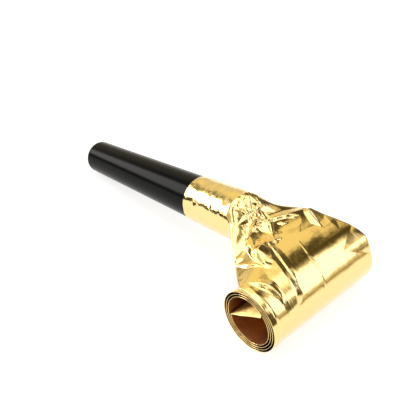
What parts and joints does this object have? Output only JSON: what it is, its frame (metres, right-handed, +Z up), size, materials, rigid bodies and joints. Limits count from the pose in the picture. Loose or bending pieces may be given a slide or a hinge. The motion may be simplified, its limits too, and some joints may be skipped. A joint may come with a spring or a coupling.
{
  "type": "party horn blower",
  "caption": "Roll-out party horn: a tapered black mouthpiece with a squawker reed, and a flattened gold foil tube wound into a roll that uncurls when it is blown.",
  "frame": {"origin": "on the table, under the middle of the horn's box, as it lies on its mouth end and its roll", "axes": "+X from the mouth to the roll, +Y along the roll's axis, +Z up"},
  "size_m": [0.1268, 0.05, 0.0331],
  "materials": {
    "black_plastic": "satin moulded",
    "gold_foil": "metallised film, mirror-like and crumpled",
    "reed_plastic": "moulded",
    "reed_film": "thin film",
    "clear_strip": "heat-set film"
  },
  "bodies": {
    "mouthpiece": {"mouthpiece": "black_plastic", "reed_block": "reed_plastic", "reed_clip": "reed_plastic", "foil_sleeve": "gold_foil", "foil_neck": "gold_foil", "foil_lead_in": "gold_foil", "recoil_strip_root": "clear_strip"},
    "reed": {"reed": "reed_film"},
    "roll_link_01": {"foil_link_01": "gold_foil", "recoil_strip_01": "clear_strip"},
    "roll_link_02": {"foil_link_02": "gold_foil", "recoil_strip_02": "clear_strip"},
    "roll_link_03": {"foil_link_03": "gold_foil", "recoil_strip_03": "clear_strip"},
    "roll_link_04": {"foil_link_04": "gold_foil", "recoil_strip_04": "clear_strip"},
    "roll_link_05": {"foil_link_05": "gold_foil", "recoil_strip_05": "clear_strip"},
    "roll_link_06": {"foil_link_06": "gold_foil", "recoil_strip_06": "clear_strip"},
    "roll_link_07": {"foil_link_07": "gold_foil", "recoil_strip_07": "clear_strip"},
    "roll_link_08": {"foil_link_08": "gold_foil", "recoil_strip_08": "clear_strip"},
    "roll_link_09": {"foil_link_09": "gold_foil", "recoil_strip_09": "clear_strip"},
    "roll_link_10": {"foil_link_10": "gold_foil", "recoil_strip_10": "clear_strip"},
    "roll_link_11": {"foil_link_11": "gold_foil", "recoil_strip_11": "clear_strip"},
    "roll_link_12": {"foil_link_12": "gold_foil", "recoil_strip_12": "clear_strip"},
    "roll_link_13": {"foil_link_13": "gold_foil", "recoil_strip_13": "clear_strip"},
    "roll_link_14": {"foil_link_14": "gold_foil", "recoil_strip_14": "clear_strip"},
    "roll_link_15": {"foil_link_15": "gold_foil", "recoil_strip_15": "clear_strip"},
    "roll_link_16": {"foil_link_16": "gold_foil", "recoil_strip_16": "clear_strip"},
    "roll_link_17": {"foil_link_17": "gold_foil", "recoil_strip_17": "clear_strip"},
    "roll_link_18": {"foil_link_18": "gold_foil", "recoil_strip_18": "clear_strip"},
    "roll_link_19": {"foil_link_19": "gold_foil", "recoil_strip_19": "clear_strip"},
    "roll_link_20": {"foil_link_20": "gold_foil", "recoil_strip_20": "clear_strip"},
    "roll_link_21": {"foil_link_21": "gold_foil", "recoil_strip_21": "clear_strip"},
    "roll_link_22": {"foil_link_22": "gold_foil", "recoil_strip_22": "clear_strip"},
    "roll_link_23": {"foil_link_23": "gold_foil", "recoil_strip_23": "clear_strip"},
    "roll_link_24": {"foil_link_24": "gold_foil", "recoil_strip_24": "clear_strip"},
    "roll_link_25": {"foil_link_25": "gold_foil", "recoil_strip_25": "clear_strip"}
  },
  "joints": [
    {"name": "reed_beat", "type": "hinge", "parent": "mouthpiece", "child": "reed", "pos_m": [0.00193, 0, 0.02069], "axis": [0, 1, 0], "range_deg": [-4.3, 1], "stiffness_Nm_per_rad": 0.002},
    {"name": "unroll", "type": "hinge", "parent": "mouthpiece", "child": "roll_link_01", "pos_m": [0.05677, 0, 0.02173], "axis": [0, -1, 0], "range_deg": [0, 64.01], "stiffness_Nm_per_rad": 0.00034, "springref_deg": -20.05},
    {"name": "unroll_02", "type": "hinge", "parent": "roll_link_01", "child": "roll_link_02", "pos_m": [0.06293, 0, 0.01378], "axis": [0, -1, 0], "range_deg": [0, 52.24], "stiffness_Nm_per_rad": 0.00034, "springref_deg": -20.05},
    {"name": "unroll_03", "type": "hinge", "parent": "roll_link_02", "child": "roll_link_03", "pos_m": [0.06044, 0, 0.00415], "axis": [0, -1, 0], "range_deg": [0, 52.24], "stiffness_Nm_per_rad": 0.00034, "springref_deg": -20.05},
    {"name": "unroll_04", "type": "hinge", "parent": "roll_link_03", "child": "roll_link_04", "pos_m": [0.05141, 0, 0.00026], "axis": [0, -1, 0], "range_deg": [0, 52.24], "stiffness_Nm_per_rad": 0.00034, "springref_deg": -20.05},
    {"name": "unroll_05", "type": "hinge", "parent": "roll_link_04", "child": "roll_link_05", "pos_m": [0.04291, 0, 0.00497], "axis": [0, -1, 0], "range_deg": [0, 52.24], "stiffness_Nm_per_rad": 0.00034, "springref_deg": -20.05},
    {"name": "unroll_06", "type": "hinge", "parent": "roll_link_05", "child": "roll_link_06", "pos_m": [0.04143, 0, 0.01446], "axis": [0, -1, 0], "range_deg": [0, 52.24], "stiffness_Nm_per_rad": 0.00034, "springref_deg": -20.05},
    {"name": "unroll_07", "type": "hinge", "parent": "roll_link_06", "child": "roll_link_07", "pos_m": [0.04796, 0, 0.02136], "axis": [0, -1, 0], "range_deg": [0, 52.24], "stiffness_Nm_per_rad": 0.00034, "springref_deg": -20.05},
    {"name": "unroll_08", "type": "hinge", "parent": "roll_link_07", "child": "roll_link_08", "pos_m": [0.0573, 0, 0.02043], "axis": [0, -1, 0], "range_deg": [0, 52.24], "stiffness_Nm_per_rad": 0.00034, "springref_deg": -20.05},
    {"name": "unroll_09", "type": "hinge", "parent": "roll_link_08", "child": "roll_link_09", "pos_m": [0.06222, 0, 0.01258], "axis": [0, -1, 0], "range_deg": [0, 52.24], "stiffness_Nm_per_rad": 0.00034, "springref_deg": -20.05},
    {"name": "unroll_10", "type": "hinge", "parent": "roll_link_09", "child": "roll_link_10", "pos_m": [0.05908, 0, 0.00398], "axis": [0, -1, 0], "range_deg": [0, 52.24], "stiffness_Nm_per_rad": 0.00034, "springref_deg": -20.05},
    {"name": "unroll_11", "type": "hinge", "parent": "roll_link_10", "child": "roll_link_11", "pos_m": [0.05046, 0, 0.00124], "axis": [0, -1, 0], "range_deg": [0, 52.24], "stiffness_Nm_per_rad": 0.00034, "springref_deg": -20.05},
    {"name": "unroll_12", "type": "hinge", "parent": "roll_link_11", "child": "roll_link_12", "pos_m": [0.0431, 0, 0.00631], "axis": [0, -1, 0], "range_deg": [0, 52.24], "stiffness_Nm_per_rad": 0.00034, "springref_deg": -20.05},
    {"name": "unroll_13", "type": "hinge", "parent": "roll_link_12", "child": "roll_link_13", "pos_m": [0.04261, 0, 0.01512], "axis": [0, -1, 0], "range_deg": [0, 52.24], "stiffness_Nm_per_rad": 0.00034, "springref_deg": -20.05},
    {"name": "unroll_14", "type": "hinge", "parent": "roll_link_13", "child": "roll_link_14", "pos_m": [0.04919, 0, 0.02083], "axis": [0, -1, 0], "range_deg": [0, 52.24], "stiffness_Nm_per_rad": 0.00034, "springref_deg": -20.05},
    {"name": "unroll_15", "type": "hinge", "parent": "roll_link_14", "child": "roll_link_15", "pos_m": [0.05762, 0, 0.01914], "axis": [0, -1, 0], "range_deg": [0, 52.24], "stiffness_Nm_per_rad": 0.00034, "springref_deg": -20.05},
    {"name": "unroll_16", "type": "hinge", "parent": "roll_link_15", "child": "roll_link_16", "pos_m": [0.0614, 0, 0.01155], "axis": [0, -1, 0], "range_deg": [0, 52.24], "stiffness_Nm_per_rad": 0.00034, "springref_deg": -20.05},
    {"name": "unroll_17", "type": "hinge", "parent": "roll_link_16", "child": "roll_link_17", "pos_m": [0.05776, 0, 0.00401], "axis": [0, -1, 0], "range_deg": [0, 52.24], "stiffness_Nm_per_rad": 0.00034, "springref_deg": -20.05},
    {"name": "unroll_18", "type": "hinge", "parent": "roll_link_17", "child": "roll_link_18", "pos_m": [0.04968, 0, 0.00229], "axis": [0, -1, 0], "range_deg": [0, 52.24], "stiffness_Nm_per_rad": 0.00034, "springref_deg": -20.05},
    {"name": "unroll_19", "type": "hinge", "parent": "roll_link_18", "child": "roll_link_19", "pos_m": [0.04347, 0, 0.00756], "axis": [0, -1, 0], "range_deg": [0, 52.24], "stiffness_Nm_per_rad": 0.00034, "springref_deg": -20.05},
    {"name": "unroll_20", "type": "hinge", "parent": "roll_link_19", "child": "roll_link_20", "pos_m": [0.04381, 0, 0.01558], "axis": [0, -1, 0], "range_deg": [0, 52.24], "stiffness_Nm_per_rad": 0.00034, "springref_deg": -20.05},
    {"name": "unroll_21", "type": "hinge", "parent": "roll_link_20", "child": "roll_link_21", "pos_m": [0.05028, 0, 0.02016], "axis": [0, -1, 0], "range_deg": [0, 52.24], "stiffness_Nm_per_rad": 0.00034, "springref_deg": -20.05},
    {"name": "unroll_22", "type": "hinge", "parent": "roll_link_21", "child": "roll_link_22", "pos_m": [0.05775, 0, 0.01788], "axis": [0, -1, 0], "range_deg": [0, 52.24], "stiffness_Nm_per_rad": 0.00034, "springref_deg": -20.05},
    {"name": "unroll_23", "type": "hinge", "parent": "roll_link_22", "child": "roll_link_23", "pos_m": [0.06048, 0, 0.01069], "axis": [0, -1, 0], "range_deg": [0, 52.24], "stiffness_Nm_per_rad": 0.00034, "springref_deg": -20.05},
    {"name": "unroll_24", "type": "hinge", "parent": "roll_link_23", "child": "roll_link_24", "pos_m": [0.05653, 0, 0.00422], "axis": [0, -1, 0], "range_deg": [0, 52.24], "stiffness_Nm_per_rad": 0.00034, "springref_deg": -20.05},
    {"name": "unroll_25", "type": "hinge", "parent": "roll_link_24", "child": "roll_link_25", "pos_m": [0.04911, 0, 0.00339], "axis": [0, -1, 0], "range_deg": [0, 52.24], "stiffness_Nm_per_rad": 0.00034, "springref_deg": -20.05}
  ],
  "couplings": [
    {"joint": "unroll_02", "follows": "unroll", "ratio": 0.81603},
    {"joint": "unroll_03", "follows": "unroll", "ratio": 0.81603},
    {"joint": "unroll_04", "follows": "unroll", "ratio": 0.81603},
    {"joint": "unroll_05", "follows": "unroll", "ratio": 0.81603},
    {"joint": "unroll_06", "follows": "unroll", "ratio": 0.81603},
    {"joint": "unroll_07", "follows": "unroll", "ratio": 0.81603},
    {"joint": "unroll_08", "follows": "unroll", "ratio": 0.81603},
    {"joint": "unroll_09", "follows": "unroll", "ratio": 0.81603},
    {"joint": "unroll_10", "follows": "unroll", "ratio": 0.81603},
    {"joint": "unroll_11", "follows": "unroll", "ratio": 0.81603},
    {"joint": "unroll_12", "follows": "unroll", "ratio": 0.81603},
    {"joint": "unroll_13", "follows": "unroll", "ratio": 0.81603},
    {"joint": "unroll_14", "follows": "unroll", "ratio": 0.81603},
    {"joint": "unroll_15", "follows": "unroll", "ratio": 0.81603},
    {"joint": "unroll_16", "follows": "unroll", "ratio": 0.81603},
    {"joint": "unroll_17", "follows": "unroll", "ratio": 0.81603},
    {"joint": "unroll_18", "follows": "unroll", "ratio": 0.81603},
    {"joint": "unroll_19", "follows": "unroll", "ratio": 0.81603},
    {"joint": "unroll_20", "follows": "unroll", "ratio": 0.81603},
    {"joint": "unroll_21", "follows": "unroll", "ratio": 0.81603},
    {"joint": "unroll_22", "follows": "unroll", "ratio": 0.81603},
    {"joint": "unroll_23", "follows": "unroll", "ratio": 0.81603},
    {"joint": "unroll_24", "follows": "unroll", "ratio": 0.81603},
    {"joint": "unroll_25", "follows": "unroll", "ratio": 0.81603}
  ]
}
